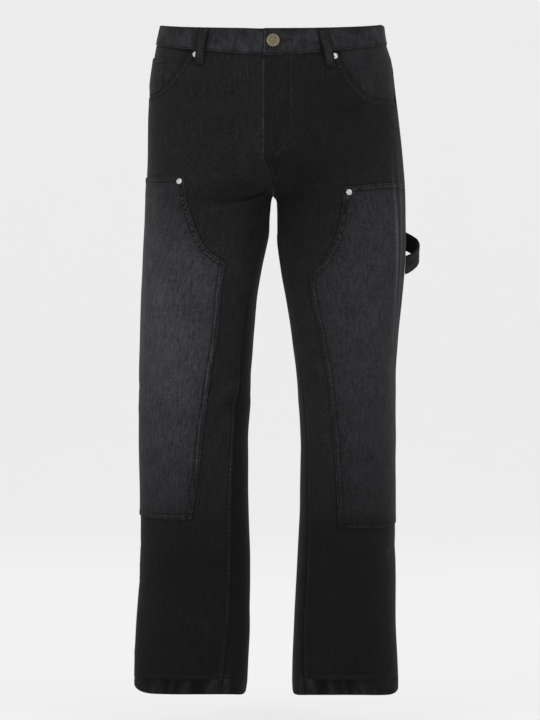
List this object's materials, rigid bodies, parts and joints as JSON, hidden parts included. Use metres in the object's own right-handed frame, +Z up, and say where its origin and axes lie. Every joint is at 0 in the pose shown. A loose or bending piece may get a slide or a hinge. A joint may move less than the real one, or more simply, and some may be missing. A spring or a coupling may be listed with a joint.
{
  "type": "worn straight double-knee jeans",
  "caption": "Straight jeans in the open form they have when worn, with a buttoned waistband, front and back pockets, doubled knees, a hammer loop and hemmed legs.",
  "frame": {"origin": "middle of the waist, at the height of the waistband's top edge at the centre front", "axes": "+Z up along the body, -Y out of the front, +X towards the wearer's left side"},
  "size_m": [0.4577, 0.2295, 1.0724],
  "materials": {
    "denim": "washed black cotton twill, paler on edges, thighs and seams",
    "patch_denim": "washed black cotton twill, more faded, with worn edges",
    "aged_brass": "dull aged brass",
    "rivet_steel": "satin steel, a little worn"
  },
  "bodies": {
    "root": {"back_left": "denim", "back_pocket_left": "denim", "back_pocket_right": "denim", "back_right": "denim", "belt_loop_back_left": "denim", "belt_loop_back_right": "denim", "belt_loop_centre_back": "denim", "belt_loop_front_left": "denim", "belt_loop_front_right": "denim", "button": "aged_brass", "coin_pocket": "denim", "front_left": "denim", "front_right": "denim", "hammer_loop": "denim", "knee_patch_left": "patch_denim", "knee_patch_right": "patch_denim", "pocket_facing_left": "denim", "pocket_facing_right": "denim", "rivet_patch_left": "rivet_steel", "rivet_patch_right": "rivet_steel", "rivet_pocket_left": "rivet_steel", "rivet_pocket_right": "rivet_steel", "waistband": "denim", "yoke_left": "denim", "yoke_right": "denim"}
  },
  "joints": []
}
